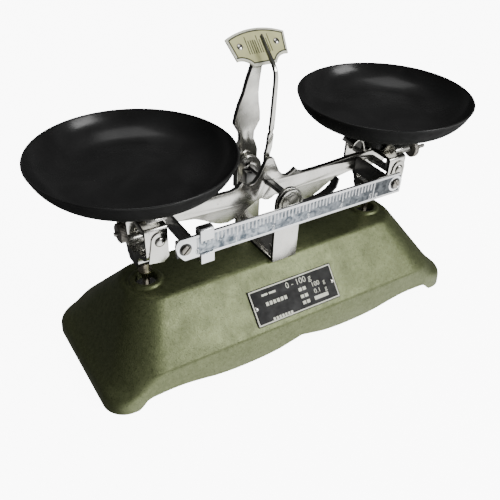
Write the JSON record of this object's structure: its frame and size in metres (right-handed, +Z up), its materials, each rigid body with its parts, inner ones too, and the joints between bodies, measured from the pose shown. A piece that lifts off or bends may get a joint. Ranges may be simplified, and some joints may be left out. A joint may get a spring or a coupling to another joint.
{
  "type": "table balance",
  "caption": "Two-pan table balance with a graduated rider bar, pointer and leaning dial, on a hollow cast base that hides a parallel stay link.",
  "frame": {"origin": "centre of the footprint, on the table that the base stands on", "axes": "+X along the beam towards the right pan, -Y towards the user who reads the dial, +Z up"},
  "size_m": [0.254, 0.1, 0.1599],
  "materials": {
    "hammertone_olive": "hammertone",
    "nickel_plate": "polished",
    "polished_steel": "polished",
    "zinc_steel": "satin",
    "hard_steel": "ground",
    "pan_enamel": "gloss",
    "black_steel": "satin",
    "dial_cream": "satin",
    "plate_black": "gloss",
    "scale_grey": "gloss",
    "nut_nickel": "nickelled"
  },
  "bodies": {
    "base": {"base_casting": "hammertone_olive", "column_bracket": "nickel_plate", "column_screws": "zinc_steel", "front_bearing": "hard_steel", "rear_bearing": "hard_steel", "front_bearing_cover": "polished_steel", "rear_bearing_cover": "polished_steel", "dial_post": "nickel_plate", "dial_post_screws": "zinc_steel", "dial_plate": "dial_cream", "dial_rivets": "polished_steel", "name_plate": "plate_black", "name_plate_rivets": "polished_steel", "stay_bracket": "hammertone_olive", "stay_axle": "zinc_steel", "stay_bracket_screws": "zinc_steel"},
    "beam": {"beam_plate": "polished_steel", "centre_knife": "hard_steel", "left_knife": "hard_steel", "right_knife": "hard_steel", "pointer": "polished_steel", "pointer_rivets": "polished_steel", "scale_bar": "scale_grey", "left_bar_bracket": "polished_steel", "right_bar_bracket": "polished_steel", "bar_screws": "polished_steel", "counterpoise_strap": "black_steel", "left_stud": "polished_steel", "right_stud": "polished_steel"},
    "sliding_rider": {"rider": "polished_steel"},
    "left_nut": {"left_balance_nut": "nut_nickel"},
    "right_nut": {"right_balance_nut": "nut_nickel"},
    "left_hanger": {"left_stirrup": "polished_steel", "left_knife_seats": "hard_steel", "left_cheek_covers": "polished_steel", "left_cover_rivets": "polished_steel", "left_stem": "polished_steel", "left_stay_pin": "zinc_steel", "left_pan_carrier": "polished_steel", "left_carrier_rivet": "polished_steel"},
    "right_hanger": {"right_stirrup": "polished_steel", "right_knife_seats": "hard_steel", "right_cheek_covers": "polished_steel", "right_cover_rivets": "polished_steel", "right_stem": "polished_steel", "right_stay_pin": "zinc_steel", "right_pan_carrier": "polished_steel", "right_carrier_rivet": "polished_steel"},
    "left_tray": {"left_pan": "pan_enamel", "left_pan_ring": "black_steel"},
    "right_tray": {"right_pan": "pan_enamel", "right_pan_ring": "black_steel"},
    "stay": {"stay_link": "zinc_steel"}
  },
  "joints": [
    {"name": "beam_tilt", "type": "hinge", "parent": "base", "child": "beam", "pos_m": [0, 0, 0.0838], "axis": [0, 1, 0], "range_deg": [-4.5, 4.5], "stiffness_Nm_per_rad": 0.6},
    {"name": "rider_slide", "type": "slide", "parent": "beam", "child": "sliding_rider", "axis": [1, 0, 0], "range_m": [0, 0.1114]},
    {"name": "left_nut_travel", "type": "slide", "parent": "beam", "child": "left_nut", "axis": [-1, 0, 0], "range_m": [0, 0.0015]},
    {"name": "right_nut_travel", "type": "slide", "parent": "beam", "child": "right_nut", "axis": [1, 0, 0], "range_m": [-0.02, 0.006]},
    {"name": "left_stirrup_swing", "type": "hinge", "parent": "beam", "child": "left_hanger", "pos_m": [-0.077, 0, 0.0838], "axis": [0, 1, 0], "range_deg": [-5, 5]},
    {"name": "right_stirrup_swing", "type": "hinge", "parent": "beam", "child": "right_hanger", "pos_m": [0.077, 0, 0.0838], "axis": [0, 1, 0], "range_deg": [-5, 5]},
    {"name": "stay_tilt", "type": "hinge", "parent": "base", "child": "stay", "pos_m": [0, 0, 0.018], "axis": [0, 1, 0], "range_deg": [-5, 5]},
    {"name": "left_pan_lift", "type": "slide", "parent": "left_hanger", "child": "left_tray", "axis": [0, 0, 1], "range_m": [0, 0.03]},
    {"name": "right_pan_lift", "type": "slide", "parent": "right_hanger", "child": "right_tray", "axis": [0, 0, 1], "range_m": [0, 0.03]}
  ],
  "couplings": [
    {"joint": "left_stirrup_swing", "follows": "beam_tilt", "ratio": -1},
    {"joint": "right_stirrup_swing", "follows": "beam_tilt", "ratio": -1},
    {"joint": "stay_tilt", "follows": "beam_tilt", "ratio": 1}
  ]
}
